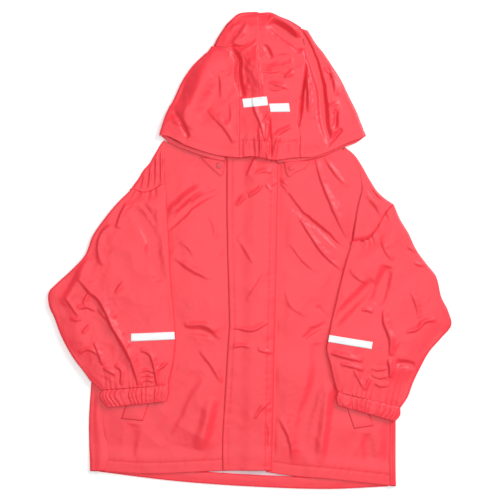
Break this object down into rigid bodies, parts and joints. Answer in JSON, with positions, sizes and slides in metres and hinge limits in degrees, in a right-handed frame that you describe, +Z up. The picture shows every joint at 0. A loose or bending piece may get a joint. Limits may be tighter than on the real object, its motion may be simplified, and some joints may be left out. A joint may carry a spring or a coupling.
{
  "type": "kids hooded rain jacket",
  "caption": "Child's coral-red hooded rain jacket laid flat, with a storm flap over the zip, gathered cuffs, slanted pockets and reflective strips.",
  "frame": {"origin": "on the table under the middle of the jacket's outline: the bottom centre of its box", "axes": "+Z up from the table, out of the jacket's front; +Y from the hem to the hood; +X towards the wearer's left side, the viewer's right"},
  "size_m": [0.6061, 0.7187, 0.011],
  "materials": {
    "shell_fabric": "soft sheen, waterproof coated taffeta, coral red",
    "zip_tape": "woven tape, matt red",
    "zip_teeth": "matt red coil",
    "zip_slider": "satin red",
    "snap_cap": "satin red",
    "reflective_strip": "silver-white retroreflective tape, satin"
  },
  "bodies": {
    "root": {"back_panel": "shell_fabric", "front_right": "shell_fabric", "front_left": "shell_fabric", "storm_flap": "shell_fabric", "pocket_welt_right": "shell_fabric", "pocket_welt_left": "shell_fabric", "sleeve_right": "shell_fabric", "sleeve_left": "shell_fabric", "cuff_right": "shell_fabric", "cuff_left": "shell_fabric", "hood_side_right": "shell_fabric", "hood_side_left": "shell_fabric", "hood_middle": "shell_fabric", "hood_tab_right": "shell_fabric", "hood_tab_left": "shell_fabric", "zip_tape_right": "zip_tape", "zip_tape_left": "zip_tape", "zip_chain": "zip_teeth", "zip_slider": "zip_slider", "snap_right": "snap_cap", "snap_left": "snap_cap", "sleeve_strip_right": "reflective_strip", "sleeve_strip_left": "reflective_strip", "hood_strip_right": "reflective_strip", "hood_strip_left": "reflective_strip"}
  },
  "joints": []
}
